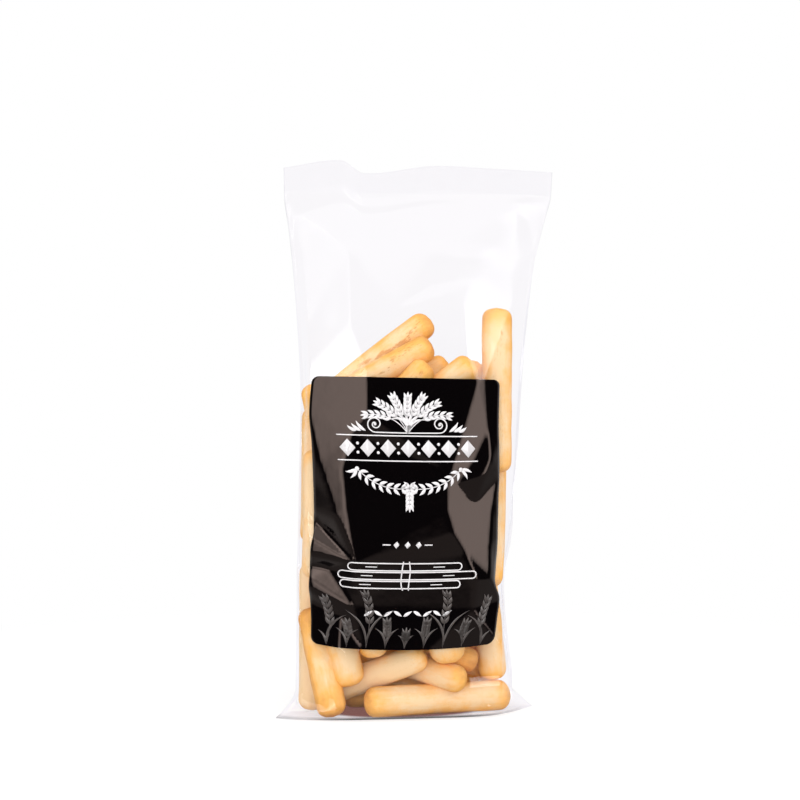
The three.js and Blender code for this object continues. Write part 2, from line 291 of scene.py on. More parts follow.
def folded_depth(x, z):
    """The depth of the folded front, and how far it holds there, from 0 to 1."""
    depth = np.zeros(np.broadcast(x, z).shape)
    for a, b, c in FOLD_TRIANGLES:
        area = (b[0] - a[0]) * (c[1] - a[1]) - (c[0] - a[0]) * (b[1] - a[1])
        if abs(area) < 1e-3:
            continue
        to_b = ((x - a[0]) * (c[1] - a[1]) - (c[0] - a[0]) * (z - a[1])) / area
        to_c = ((b[0] - a[0]) * (z - a[1]) - (x - a[0]) * (b[1] - a[1])) / area
        inside = (to_b >= -1e-6) & (to_c >= -1e-6) & (to_b + to_c <= 1 + 1e-6)
        depth = np.where(inside, a[2] + (b[2] - a[2]) * to_b + (c[2] - a[2]) * to_c, depth)
    held = between(z, FOLDS_FROM, FOLDS_TO)
    return depth, np.where(depth > 0, held, 0.0)


FOLD_TRIANGLES = fold_triangles()


def film_points(x, z, side):
    """Points of the film's outside at x and height z, on the front (side -1) or the back (side 1)."""
    left, right, depth, power, exponent = along(SECTIONS, z)
    share = np.minimum(1, np.abs(x - (left + right) / 2) / ((right - left) / 2))
    out = outline(share, depth, power, exponent) + relief(x, z, side) * (1 - share**4)
    if side < 0:
        folded, hold = folded_depth(x, z)
        out = out * (1 - hold) + folded * hold
    up, back = seal_wave(x, z)
    y = side * np.maximum(LEAST_HALF_DEPTH, out) + back
    return np.stack([x + 0 * y, y, z + up], -1)


class Walls:
    """The depth of the film's front and back on a grid over x and z, and its slope there."""

    STEP = 1.0
    X = np.arange(-58.0, 59.0, STEP)
    Z = np.arange(0.0, 180.0, STEP)

    def __init__(self):
        x, z = np.meshgrid(self.X, self.Z)
        self.depth = {side: side * film_points(x, z, side)[..., 1] for side in (-1, 1)}
        self.slope = {}
        for side, depth in self.depth.items():
            rise_z, rise_x = np.gradient(depth, self.STEP)
            self.slope[side] = np.sqrt(1 + rise_x**2 + rise_z**2)

    def at(self, table, x, z):
        """A table's values at points, each from the four round it."""
        column = np.clip((x - self.X[0]) / self.STEP, 0, len(self.X) - 1.001)
        row = np.clip((z - self.Z[0]) / self.STEP, 0, len(self.Z) - 1.001)
        c, r = column.astype(int), row.astype(int)
        s, t = column - c, row - r
        low = table[r, c] * (1 - s) + table[r, c + 1] * s
        high = table[r + 1, c] * (1 - s) + table[r + 1, c + 1] * s
        return low * (1 - t) + high * t

    def room(self, x, z, side, clear):
        """How far from the middle plane a ball that needs this much clearance can stand."""
        return np.maximum(0, self.at(self.depth[side], x, z) - clear * self.at(self.slope[side], x, z))


# ---------------------------------------------------------------- meshes and materials


def grid_faces(rows, columns, closed=False):
    """Four-sided faces of a grid of points that is listed row by row."""
    r, c = np.meshgrid(np.arange(rows - 1), np.arange(columns if closed else columns - 1), indexing="ij")
    a, b = r * columns + c, r * columns + (c + 1) % columns
    return np.stack([a, b, b + columns, a + columns], -1).reshape(-1, 4)


def mesh_piece(name, points, faces, material):
    """A mesh from points in millimetres, which rides on the pack and has a material."""
    mesh = bpy.data.meshes.new(name)
    mesh.from_pydata((np.asarray(points, float) * MM).tolist(), [], [tuple(map(int, f)) for f in faces])
    mesh.polygons.foreach_set("use_smooth", [True] * len(mesh.polygons))
    mesh.materials.append(material)
    mesh.update()
    piece = bpy.data.objects.new(name, mesh)
    bpy.context.scene.collection.objects.link(piece)
    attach(piece, "root")
    return piece


def new_material(name):
    material = bpy.data.materials.new(name)
    material.use_nodes = True
    material.node_tree.nodes.clear()
    return material, material.node_tree


def node(tree, kind, inputs=None, **settings):
    """A shader node with its settings, and with inputs set to values or joined to other nodes' outputs."""
    new = tree.nodes.new("ShaderNode" + kind)
    for key, value in settings.items():
        setattr(new, key, value)
    for key, value in (inputs or {}).items():
        if isinstance(value, bpy.types.NodeSocket):
            tree.links.new(value, new.inputs[key])
        else:
            new.inputs[key].default_value = value
    return new


def math_node(tree, operation, *values):
    return node(tree, "Math", dict(enumerate(values)), operation=operation).outputs[0]


def times(tree, value, *others):
    for other in others:
        value = math_node(tree, "MULTIPLY", value, other)
    return value


def span(tree, value, start, end, at_start=0.0, at_end=1.0):
    """A value's place between two others, held to the range that it maps to."""
    return node(tree, "MapRange", {"Value": value, "From Min": start, "From Max": end,
                                   "To Min": at_start, "To Max": at_end}).outputs[0]


def noise(tree, place, scale, detail, roughness=0.5):
    inputs = {"Vector": place, "Scale": scale, "Detail": detail, "Roughness": roughness}
    return node(tree, "TexNoise", inputs).outputs["Fac"]


def length_of(tree, vector):
    return node(tree, "VectorMath", {0: vector}, operation="LENGTH").outputs["Value"]


def mix_colours(tree, factor, first, second):
    return node(tree, "Mix", {0: factor, 6: first, 7: second}, data_type="RGBA").outputs[2]


def mix_shaders(tree, factor, first, second):
    return node(tree, "MixShader", {0: factor, 1: first.outputs[0], 2: second.outputs[0]})


def finish_material(tree, shader):
    node(tree, "OutputMaterial", {"Surface": shader.outputs[0]})


# ---------------------------------------------------------------- the film

FILM_AROUND = 248  # points round each section, a multiple of four
FILM_BASE_STEPS = (0, 0.6, 1.4, 2.3, 3.2, 4.3, 5.4, 7.0)  # heights of its lowest sections
FILM_STEP = 1.15  # between sections
FILM_RIBS = 0.95  # pitch of the ribs across the top seal
FILM_RIB_HEIGHT = 0.16
FILM_CLEAR = (0.978, 0.970, 0.982, 1.0)
FILM_EDGE = (0.93, 0.925, 0.96, 1.0)
FILM_SEAL = (0.970, 0.962, 0.976, 1.0)
FILM_MIDDLE = -3.4
FILM_BASE = 0.02  # what lies lower is the flat base
FILM_CONTACT_SHADOW_TINT = (0.035, 0.035, 0.040, 1.0)  # painted contact shadow along the bottom of the front
FILM_CONTACT_SHADOW_HEIGHTS = (1.5, 0.5)  # from the first to the second the painted shadow comes in
FILM_CONTACT_SHADOW_FRONT = (-2.0, -9.0)  # and so it does from the first depth to the second
FILM_CONTACT_SHADOW_ENDS = (22.0, 40.0)  # how far from its middle it starts and stops growing fainter
FILM_CONTACT_SHADOW_AT_ENDS = 0.3
FILM_UNDER_SHADOW_TINT = (0.32, 0.14, 0.12, 1.0)  # painted shade on the base under the breadsticks, where their shadow falls
FILM_UNDER = (33.0, 18.5)  # half its width and half its depth
FILM_UNDER_BACK = 3.0  # how far back its middle lies
FILM_UNDER_EDGE = 0.85  # share of its reach where it starts to fade
FILM_GLOSS = 0.038  # mirrored straight on, over the contents
FILM_GLOSS_ABOVE = 0.009  # and where nothing lies behind it
FILM_GLOSS_AT_EDGE = 0.96  # mirrored besides, where the film turns away
FILM_FILLED = (126.0, 158.0)  # from the first height to the second, the one turns into the other
FILM_INSIDE = 0.3  # share of the gloss that the inner side has
FILM_ROUGHNESS = 0.07
FILM_SLACK = 3.0  # how far the film is drawn in between breadsticks, at most
FILM_PROUD = 0.8  # how far they push it out, at most
HULL_SIDES = 144
HULL_BAND = 1.3  # contents this near in height count for a section
HULL_ROUNDING = 90.0  # radius of the film's curve over the contents from top to bottom


def scaled(values):
    """Millimetres as metres."""
    return [value * MM for value in values]


def painted_contact_shadow(tree, place):
    """Where a contact shadow is painted on the film where it folds under along the front, darkest at its
    middle.
    """
    low = span(tree, place["Z"], *scaled(FILM_CONTACT_SHADOW_HEIGHTS))
    standing = math_node(tree, "GREATER_THAN", place["Z"], FILM_BASE * MM)
    front = span(tree, place["Y"], *scaled(FILM_CONTACT_SHADOW_FRONT))
    aside = math_node(tree, "ABSOLUTE", math_node(tree, "SUBTRACT", place["X"], FILM_MIDDLE * MM))
    middle = span(tree, aside, *scaled(FILM_CONTACT_SHADOW_ENDS), 1.0, FILM_CONTACT_SHADOW_AT_ENDS)
    return times(tree, low, standing, front, middle)


def painted_shade_under_contents(tree, place):
    """Where shade is painted on the film's base under the breadsticks."""
    across = math_node(tree, "SUBTRACT", place["X"], FILM_MIDDLE * MM)
    back = math_node(tree, "SUBTRACT", place["Y"], FILM_UNDER_BACK * MM)
    oval = node(tree, "CombineXYZ", {"X": math_node(tree, "DIVIDE", across, FILM_UNDER[0] * MM),
                                     "Y": math_node(tree, "DIVIDE", back, FILM_UNDER[1] * MM)}).outputs[0]
    flat = math_node(tree, "LESS_THAN", place["Z"], FILM_BASE * MM)
    return times(tree, flat, span(tree, length_of(tree, oval), 1.0, FILM_UNDER_EDGE))


def film_material():
    """Clear film: it lets light through with a faint tint, and mirrors more where it turns away."""
    material, tree = new_material("clear_film")
    place = node(tree, "SeparateXYZ", {0: node(tree, "TexCoord").outputs["Object"]}).outputs
    under = painted_shade_under_contents(tree, place)
    facing = node(tree, "LayerWeight", {"Blend": 0.5}).outputs["Facing"]
    grazing = math_node(tree, "POWER", facing, 5.0)
    straight = span(tree, place["Z"], *scaled(FILM_FILLED), FILM_GLOSS, FILM_GLOSS_ABOVE)
    gloss = math_node(tree, "MULTIPLY_ADD", grazing, FILM_GLOSS_AT_EDGE, straight)
    inner = node(tree, "NewGeometry").outputs["Backfacing"]
    gloss = times(tree, gloss, math_node(tree, "MULTIPLY_ADD", inner, FILM_INSIDE - 1, 1))
    gloss = times(tree, gloss, math_node(tree, "SUBTRACT", 1.0, under))
    sealed = math_node(tree, "GREATER_THAN", place["Z"], SEAL_BOTTOM * MM)
    through = mix_colours(tree, sealed, FILM_CLEAR, FILM_SEAL)
    through = mix_colours(tree, math_node(tree, "POWER", facing, 3.0), through, FILM_EDGE)
    # Painted shadow: a dark contact line along the bottom of the front, where the film folds under.
    through = mix_colours(tree, painted_contact_shadow(tree, place), through, FILM_CONTACT_SHADOW_TINT)
    # Painted shade: the base under the breadsticks is tinted dark as their shadow.
    through = mix_colours(tree, under, through, FILM_UNDER_SHADOW_TINT)
    clear = node(tree, "BsdfTransparent", {"Color": through})
    mirror = node(tree, "BsdfPrincipled", {"Base Color": (1, 1, 1, 1), "Metallic": 1.0,
                                           "Roughness": FILM_ROUGHNESS})
    finish_material(tree, mix_shaders(tree, gloss, clear, mirror))
    return material


def shares_around(half_width, depth, power, exponent, steps):
    """Shares of a section's half width from its side, 1, to its middle, 0, at equal steps round the film."""
    share = np.cos(np.linspace(0, math.pi / 2, 400))
    run = np.hypot(np.diff(share * half_width), np.diff(outline(share, depth, power, exponent)))
    length = np.concatenate([[0], np.cumsum(run)])
    return np.interp(np.linspace(0, length[-1], steps + 1), length, share)


def ear_reach(y, z, wall, tip):
    """How far a flattened bottom corner reaches past the film's side."""
    low, near = 1 - z / EAR_HEIGHT, 1 - np.abs(y - tip[1]) / EAR_HALF_DEPTH
    return (tip[0] - wall) * np.maximum(0, low) * np.maximum(0, near)


def film_ring(z):
    """One section of the film: the front from right to left, then the back to the right."""
    left, right, depth, power, exponent = along(SECTIONS, z)
    quarter = FILM_AROUND // 4
    shares = shares_around((right - left) / 2, depth, power, exponent, quarter)
    half = np.concatenate([shares, -shares[-2:0:-1]])
    rings = []
    for side in (-1, 1):
        share = -side * half
        x = (left + right) / 2 + share * (right - left) / 2
        points = film_points(x, np.full_like(x, z), side)
        points[0, 1] = seal_wave(x[:1], z)[1][0]
        ears = np.where(share > 0, ear_reach(points[:, 1], z, right, EAR_TIP_RIGHT),
                        ear_reach(points[:, 1], z, left, EAR_TIP_LEFT))
        points[:, 0] += np.abs(share) * ears
        points[:, 1] += side * rib_height(z)
        rings.append(points)
    return np.concatenate(rings)


def rib_height(z):
    ribs = between(z, RIBS_FROM, RIBS_TO)
    return FILM_RIB_HEIGHT * ribs * np.cos(2 * math.pi * (z - SEAL_BOTTOM) / FILM_RIBS)


def ring_heights():
    body = np.arange(EAR_HEIGHT, SEAL_BOTTOM - FILM_STEP / 2, FILM_STEP)
    seal = np.arange(SEAL_BOTTOM, SEAL_TOP, FILM_RIBS / 4)
    return np.concatenate([FILM_BASE_STEPS, body, seal, [SEAL_TOP]])


def hull_reach(points, angles):
    """How far the taut outline round flat points reaches from (0, 0) at each angle."""
    turn = np.linspace(0, 2 * math.pi, HULL_SIDES, endpoint=False)
    support = (points @ np.stack([np.cos(turn), np.sin(turn)])).max(0)
    toward = np.cos(angles[:, None] - turn[None, :])
    return np.where(toward > 0.05, support / np.maximum(toward, 0.05), np.inf).min(1)


class Film:
    """The film's skin as rings of points, one above the other, drawn in taut over what it holds."""

    def __init__(self, contents):
        self.heights = ring_heights()
        self.rings = np.stack([film_ring(z) for z in self.heights])
        left, right = along(SECTIONS, self.heights)[:2]
        self.middle = (left + right)[:, None] / 2
        self.half = (right - left)[:, None] / 2
        self.draw_in(contents)

    def draw_in(self, contents):
        """Draws the back of the film in over points of its contents, and lets them push it out a little."""
        across = self.rings[..., 0] - self.middle
        angles = np.arctan2(self.rings[..., 1], across)
        own = np.hypot(across, self.rings[..., 1])
        reach = np.zeros_like(own)
        core = np.array([[1, 0], [0, 1], [-1, 0], [0, -1]], float)
        for row, z in enumerate(self.heights):
            near = contents[np.abs(contents[:, 2] - z) < HULL_BAND]
            flat = np.concatenate([near[:, :2] - (self.middle[row, 0], 0), core])
            reach[row] = hull_reach(flat, angles[row])
        drop = (self.heights[:, None] - self.heights[None, :]) ** 2 / (2 * HULL_ROUNDING)
        spread = (reach[None] - drop[..., None]).max(1)
        taut = (spread[None] + drop[..., None]).min(1) + STICK_SPACING
        side = np.minimum(1, np.abs(across) / self.half)
        z = self.heights[:, None]
        loose = between(z, DRAWN_FROM, DRAWN_TO) * (1 - side**6) * (self.rings[..., 1] > 0)
        drawn = np.clip(taut, own - FILM_SLACK * loose, own + FILM_PROUD * loose)
        share = drawn / np.maximum(own, 1e-6)
        self.rings[..., 0] = self.middle + across * share
        self.rings[..., 1] *= share

    def front_depth(self, x, z):
        """How far the front stands out at points x, z below the seal."""
        fronts = self.rings[:, FILM_AROUND // 2::-1]
        table = np.array([np.interp(x, front[:, 0], -front[:, 1]) for front in fronts])
        place = np.interp(z, self.heights, np.arange(len(self.heights)))
        low = np.clip(place.astype(int), 0, len(self.heights) - 2)
        t = place - low
        column = np.arange(len(x))
        return table[low, column] * (1 - t) + table[low + 1, column] * t

    def make(self):
        """The skin as one closed mesh: its rings, a fan under its base, and a strip along its top edge."""
        around, rows = FILM_AROUND, len(self.heights)
        points = np.concatenate([self.rings.reshape(-1, 3), [[0, 0, 0]]])
        faces = list(grid_faces(rows, around, closed=True))
        centre = len(points) - 1
        faces += [(n, centre, (n + 1) % around) for n in range(around)]
        top = (rows - 1) * around
        front = [top + n for n in range(around // 2 + 1)]
        back = [top + (around - n) % around for n in range(around // 2 + 1)]
        strip = zip(front, front[1:], back[1:], back)
        faces += [tuple(dict.fromkeys(corners)) for corners in strip]
        film = mesh_piece("film", points, [face[::-1] for face in faces], film_material())
        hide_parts("bag")


# ---------------------------------------------------------------- the breadsticks

# Breadsticks that show from the front: the middle of the round end at the tip (x, y, z), the same at the
# tail, the thickness, how far its crust colour is shifted towards brown from most, and how open its seam is.
SHOWN_STICKS = (
    ((3.6, 1.0, 149.3), (-28.0, 2.0, 124.6), 10.4, 0.08, 1.0),
    ((2.0, -8.0, 139.9), (-28.0, -7.0, 122.9), 10.4, 0.08, 0.7),
    ((0.6, -12.6, 130.9), (-28.0, -11.0, 101.0), 10.4, 0.22, 0.9),
    ((11.0, 8.0, 133.2), (-26.0, 10.0, 112.0), 10.0, 0.0, 0.0),
    ((17.8, -9.4, 132.2), (-22.0, -1.0, 98.0), 10.4, 0.0, 0.0),
    ((24.7, 2.0, 130.8), (-13.0, 8.0, 98.0), 10.4, 0.05, 0.0),
    ((32.2, -6.0, 151.3), (32.0, -6.0, 98.0), 11.2, 0.05, 0.3),
    ((31.4, 5.0, 92.5), (28.0, -6.0, 53.5), 11.0, -0.05, 0.0),
    ((31.2, -8.6, 16.4), (26.4, -3.0, 66.0), 10.6, 0.06, 0.0),
    ((-38.2, -4.0, 122.6), (-26.0, 3.0, 79.6), 10.2, 0.10, 0.0),
    ((-37.2, 6.0, 113.0), (-37.6, 8.0, 70.0), 10.6, -0.2, 0.0),
    ((-37.8, -7.0, 97.0), (-38.2, -6.0, 57.5), 10.4, -0.3, 0.0),
    ((-38.8, 5.0, 5.6), (-38.2, 9.0, 52.0), 10.6, -0.3, 0.0),
    ((-33.2, -10.6, 5.8), (-39.0, -3.5, 36.0), 11.0, 0.22, 0.0),
    ((-26.6, -14.0, 17.4), (-33.2, -12.0, 48.0), 11.8, -0.06, 0.0),
    ((-16.8, -10.0, 27.6), (-20.0, -12.5, 74.0), 10.6, -0.10, 0.0),
    ((-1.3, -12.5, 21.7), (-27.3, 0.0, 9.9), 10.4, -0.10, 0.0),
    ((11.3, -10.5, 26.6), (6.0, -12.0, 70.0), 13.2, -0.16, 0.0),
    ((14.2, -14.3, 14.4), (-15.0, 7.5, 21.0), 10.2, 0.06, 0.0),
    ((20.4, 0.0, 20.2), (-12.7, 9.0, 31.2), 9.0, 0.40, 0.0),
    ((-14.9, -13.6, 5.7), (32.6, -4.0, 5.6), 11.2, -0.03, 0.0),
    ((22.0, 6.5, 6.5), (-21.5, 8.5, 6.3), 12.2, 0.4, 0.0),
    ((30.0, 10.5, 15.5), (-9.0, 13.0, 30.0), 12.2, 0.2, 0.0),
)
HIDDEN_STICKS = 12
FIRST_PLACE = 1  # the first of the hidden places is left out, as breadsticks that show lie there
HIDDEN_LAYERS = (10.5, 0.0, -9.0)  # depths of the places at each level
HIDDEN_LOWEST = 16.0
HIDDEN_PITCH = 16.5  # from level to level
HIDDEN_SHIFT = 4.0  # up or down from there, at most
HIDDEN_ACROSS = (-14.0, 8.0)
HIDDEN_LENGTH = (46.0, 53.0)  # between the middles of their round ends
HIDDEN_TILT = (0.15, 1.45)  # to either side
HIDDEN_LEAN = 0.12
HIDDEN_THICKNESS = (10.6, 12.4)
HIDDEN_TOP = 124.0  # no hidden breadstick reaches higher
HIDDEN_BACK = 4.0  # their least depth where the label doesn't cover them
HIDDEN_ASIDE = 3.0  # their least distance from the film's sides
SHOWN_GIVE = 0.5  # share of a push that moves one that shows
ROD_POINTS = (0.0, 0.25, 0.5, 0.75, 1.0)  # shares along a rod where it is kept inside the film
PUSH_IN = 0.35  # share of the way back inside that each of them goes at a time
SINK = 0.12  # how far hidden rods sink in the first step
SINK_SHARE = 0.7  # of the steps, until they no longer sink
SETTLE_STEPS = 500
INSIDE_STEPS = 3
LAST_INSIDE_STEPS = 50
HEAP_SEED = 12
STICK_SEED = 31
STICK_SPACING = 0.35  # between breadsticks, and between them and the film
STICK_FOOT = 0.15  # the least height of any point, over the film's base
STICK_ALONG = 46
STICK_AROUND = 32


class Heap:
    """Breadsticks as straight rods with round ends, pushed apart until they fit inside the film."""

    def __init__(self):
        self.walls = Walls()
        self.random = random.Random(HEAP_SEED)
        sticks = [stick[:3] for stick in SHOWN_STICKS]
        sticks += [self.somewhere(n + FIRST_PLACE) for n in range(HIDDEN_STICKS)]
        tips, tails, thickness = zip(*sticks)
        self.ends = np.stack([np.array(tips), np.array(tails)], 1)
        self.radius = np.array(thickness) / 2
        self.length = np.linalg.norm(self.ends[:, 0] - self.ends[:, 1], axis=1)
        self.hidden = np.arange(len(sticks)) >= len(SHOWN_STICKS)

    def somewhere(self, n):
        """A hidden breadstick's first place, as its tip, its tail and its thickness."""
        level, layer = divmod(n, len(HIDDEN_LAYERS))
        length = self.random.uniform(*HIDDEN_LENGTH)
        tilt = self.random.choice((-1, 1)) * self.random.uniform(*HIDDEN_TILT)
        x = self.random.uniform(*HIDDEN_ACROSS)
        z = HIDDEN_LOWEST + level * HIDDEN_PITCH + self.random.uniform(-HIDDEN_SHIFT, HIDDEN_SHIFT)
        lean = self.random.uniform(-HIDDEN_LEAN, HIDDEN_LEAN)
        half = np.array([math.cos(tilt), lean, math.sin(tilt)]) * length / 2
        middle = np.array([x, HIDDEN_LAYERS[layer], z])
        return middle + half, middle - half, self.random.uniform(*HIDDEN_THICKNESS)

    def nearest(self):
        """For each pair, the shares along both rods where they come nearest, and the line between them."""
        start, run = self.ends[:, 0], self.ends[:, 1] - self.ends[:, 0]
        gap = start[:, None] - start[None, :]
        own = np.einsum("ij,ij->i", run, run)
        cross = run @ run.T
        first = np.einsum("ik,ijk->ij", run, gap)
        second = np.einsum("jk,ijk->ij", run, gap)
        bottom = own[:, None] * own[None, :] - cross**2
        s = np.clip((cross * second - own[None, :] * first) / np.maximum(bottom, 1e-6), 0, 1)
        t = np.clip((cross * s + second) / own[None, :], 0, 1)
        s = np.clip((cross * t - first) / own[:, None], 0, 1)
        line = gap + s[..., None] * run[:, None] - t[..., None] * run[None, :]
        return s, t, line

    def shift(self, index, share, move):
        """Moves rods so that their points at these shares go by these moves, shown ones in depth alone."""
        free = self.hidden[index]
        weight = 1 / ((1 - share) ** 2 + share**2)
        move = move * np.where(free[:, None], 1.0, (0.0, SHOWN_GIVE, 0.0))
        for end, part in enumerate((1 - share, share)):
            np.add.at(self.ends, (index, end), move * np.where(free, part * weight, 1.0)[:, None])

    def push_apart(self):
        """Moves pairs that overlap apart. Where only one of the two is hidden, it goes all the way."""
        s, t, line = self.nearest()
        distance = np.linalg.norm(line, axis=2)
        overlap = self.radius[:, None] + self.radius[None, :] + STICK_SPACING - distance
        i, j = np.nonzero(np.triu(overlap > 0, 1))
        push = line[i, j] * (overlap[i, j] / np.maximum(distance[i, j], 1e-6))[:, None]
        alike = np.where(self.hidden[i] == self.hidden[j], 0.5, 0.0)
        self.shift(i, s[i, j], push * np.where(self.hidden[i] > self.hidden[j], 1.0, alike)[:, None])
        self.shift(j, t[i, j], -push * np.where(self.hidden[j] > self.hidden[i], 1.0, alike)[:, None])

    def push_inside(self):
        """Keeps all inside the film, and the hidden ones low, and far back where no label covers them."""
        shares = np.tile(ROD_POINTS, len(self.radius))
        index = np.repeat(np.arange(len(self.radius)), len(ROD_POINTS))
        hidden = self.hidden[index]
        point = self.ends[index, 0] * (1 - shares)[:, None] + self.ends[index, 1] * shares[:, None]
        room = self.radius[index] + STICK_SPACING
        left, right = along(SECTIONS, point[:, 2])[:2]
        aside = room + HIDDEN_ASIDE * hidden
        x = np.clip(point[:, 0], left + aside, right - aside)
        z = np.clip(point[:, 2], room, np.where(hidden, HIDDEN_TOP - room, np.inf))
        front, back = (self.walls.room(x, z, side, room) for side in (-1, 1))
        covered = (z > LABEL_BOTTOM + room) & (x > LABEL_LEFT + room) & (x < LABEL_RIGHT - room)
        front = np.where(hidden & ~covered, -np.minimum(HIDDEN_BACK, back), front)
        y = np.clip(point[:, 1], -front, back)
        self.shift(index, shares, PUSH_IN * (np.stack([x, y, z], 1) - point))

    def settle(self):
        """Lets the hidden rods sink, pushes all apart, and gives each its length back, over and over."""
        for step in range(SETTLE_STEPS):
            sinking = SINK * max(0.0, 1 - step / (SETTLE_STEPS * SINK_SHARE))
            self.ends[..., 2] -= sinking * self.hidden[:, None]
            self.push_apart()
            for _ in range(INSIDE_STEPS):
                self.push_inside()
            middle = self.ends.mean(1, keepdims=True)
            half = (self.ends - middle) / np.linalg.norm(self.ends - middle, axis=2, keepdims=True)
            self.ends = middle + half * self.length[:, None, None] / 2
        for _ in range(LAST_INSIDE_STEPS):
            self.push_inside()


STICK_TURN = 0.45  # of the seam, away from the front, at most
STICK_EVEN = 0.45  # share of the rings' spacing that is even, where the rest crowds them at the ends
STICK_BLUNT = (2.3, 3.4)  # powers of the round ends
STICK_WAVES = (2, 3, 5, 8)  # half waves along it
STICK_WAVE = 0.03  # share of the radius, for a single half wave
STICK_BEND = 0.9
STICK_OVAL = 0.05
STICK_FLAT = 0.035  # at the seam
STICK_LUMPS = 6
STICK_LUMP = (0.001, 0.006)
BAKE_END = 0.62  # how much more baked the ends are
BAKE_END_REACH = 2.4  # times the radius
BAKE_END_POWER = 1.6
BAKE_AND_SHADE_AROUND = 1.2  # and how fast the crust darkens round the stick, away from its pale side at the front: partly bake, partly painted shade
BAKE_AND_SHADE_MOST = 0.40
SEAM_WIDTH = 0.93  # cosine of the angle from the seam's middle to its edge
SEAM_WANDER = 0.35
SEAM_AT_END = 0.6  # share of the seam that is closed there


def stick_profile(place, total, radius, rng):
    """The radius of a breadstick at places along it, with its blunt ends."""
    blunt = [rng.uniform(*STICK_BLUNT) for _ in range(2)]
    inset = np.maximum(0, np.abs(place) - (total / 2 - radius)) / radius
    cap = np.sqrt(np.maximum(0, 1 - inset ** np.where(place < 0, *blunt)))
    waves = sum(rng.uniform(-STICK_WAVE, STICK_WAVE) / k
                * np.sin(place / total * k * math.pi + rng.uniform(0, 6)) for k in STICK_WAVES)
    return radius * cap * (1 + waves)


def stick_lumps(angle, place, radius, rng):
    """Low lumps, as shares of the radius, at each place along a breadstick and each angle round it."""
    lumps = np.zeros((len(place), len(angle)))
    for _ in range(STICK_LUMPS):
        around, along_it = rng.choice((1, 2, 3)), rng.uniform(2, 11)
        height = rng.uniform(*STICK_LUMP)
        phase = around * angle[None, :] + along_it * place[:, None] / radius / 3
        lumps += height * np.sin(phase + rng.uniform(0, 6))
    return lumps


def stick_crust(angle, place, total, radius, turn, rng):
    """Its bake with painted shade away from the front, and how near its seam is, over the same places and
    angles.
    """
    reach = BAKE_END_REACH * radius
    end = np.clip((np.abs(place) - (total / 2 - reach)) / reach, 0, 1)[:, None] ** BAKE_END_POWER
    # Partly real bake, partly painted shade: from the pale side, which faces the front, the crust darkens
    # round to the back.
    bake_and_shade_round = np.minimum(BAKE_AND_SHADE_MOST, BAKE_AND_SHADE_AROUND * (0.5 - 0.5 * np.cos(angle - turn)))
    bake_and_shade = BAKE_END * end + bake_and_shade_round[None, :] * (1 - end)
    wander = SEAM_WANDER * np.sin(place / radius * 0.9 + rng.uniform(0, 6)) + rng.uniform(-0.5, 0.5)
    seam = np.cos(angle[None, :] - turn - wander[:, None])
    seam = np.clip((seam - SEAM_WIDTH) / (1 - SEAM_WIDTH), 0, 1) * (1 - SEAM_AT_END * end)
    return bake_and_shade, seam


def stick_mesh(tip, tail, radius, rng):
    """Points of one breadstick and, for each, its place on it, its bake with painted shade, and its nearness
    to the seam.
    """
    axis = Vector(tip - tail)
    total = axis.length + 2 * radius
    direction = axis.normalized()
    across = direction.orthogonal().normalized()
    upright = direction.cross(across)

    def outward(angles):
        angles = np.asarray(angles)[..., None]
        return np.cos(angles) * np.array(across) + np.sin(angles) * np.array(upright)

    # The pale side and the seam are turned to the front, so that the sides seen from there are painted
    # darker, as shade.
    turn = math.atan2(-upright.y, -across.y) + rng.uniform(-STICK_TURN, STICK_TURN)
    t = np.linspace(0, 1, STICK_ALONG)
    t = (1 - STICK_EVEN) * (0.5 - 0.5 * np.cos(math.pi * t)) + STICK_EVEN * t
    place = (t - 0.5) * total
    profile = stick_profile(place, total, radius, rng)
    bend = rng.uniform(-STICK_BEND, STICK_BEND) * (1 - (2 * place / total) ** 2)
    bend_way = outward(rng.uniform(0, 2 * math.pi))
    angle = np.linspace(0, 2 * math.pi, STICK_AROUND, endpoint=False)
    from_seam = angle - turn
    flat = 1 - STICK_OVAL * np.cos(2 * from_seam) - STICK_FLAT * np.maximum(0, np.cos(from_seam)) ** 3
    width = profile[:, None] * flat[None, :] * (1 + stick_lumps(angle, place, radius, rng))
    bake_and_shade, seam = stick_crust(angle, place, total, radius, turn, rng)
    centre = (tip + tail) / 2 + place[:, None] * np.array(direction) + bend[:, None] * bend_way
    points = centre[:, None, :] + width[..., None] * outward(angle)
    local = np.stack([np.cos(angle) * width, np.sin(angle) * width, place[:, None] + 0 * width], -1)
    return points.reshape(-1, 3), local.reshape(-1, 3), bake_and_shade.reshape(-1), seam.reshape(-1)


def stick_faces(first):
    """Faces of one breadstick whose points start at this number: its wall and its two end faces."""
    last = first + (STICK_ALONG - 1) * STICK_AROUND
    ends = [tuple(first + n for n in reversed(range(STICK_AROUND))), tuple(range(last, last + STICK_AROUND))]
    return list(first + grid_faces(STICK_ALONG, STICK_AROUND, closed=True)) + ends


BREAD_PALE = (0.87, 0.62, 0.34, 1.0)
BREAD_GOLD = (0.90, 0.46, 0.10, 1.0)
BREAD_BROWN = (0.58, 0.22, 0.04, 1.0)
BREAD_GOLD_AT = 0.45  # between pale, 0, and brown, 1
BREAD_START = -0.87  # where the least baked crust with none of the textures lies
BREAD_PATCHES, BREAD_STREAKS, BREAD_CRUMB = 0.9, 0.5, 0.24  # how much each adds
BREAD_TONES = 0.08  # how much one breadstick differs from the next
BREAD_GRAIN = (1.0, 1.0, 0.4)  # scale along the breadstick, for pits and cracks
BREAD_LONG_GRAIN = (1.0, 1.0, 0.14)  # and for streaks
TEXTURE_APART = 0.37  # from one breadstick's textures to the next one's, in metres


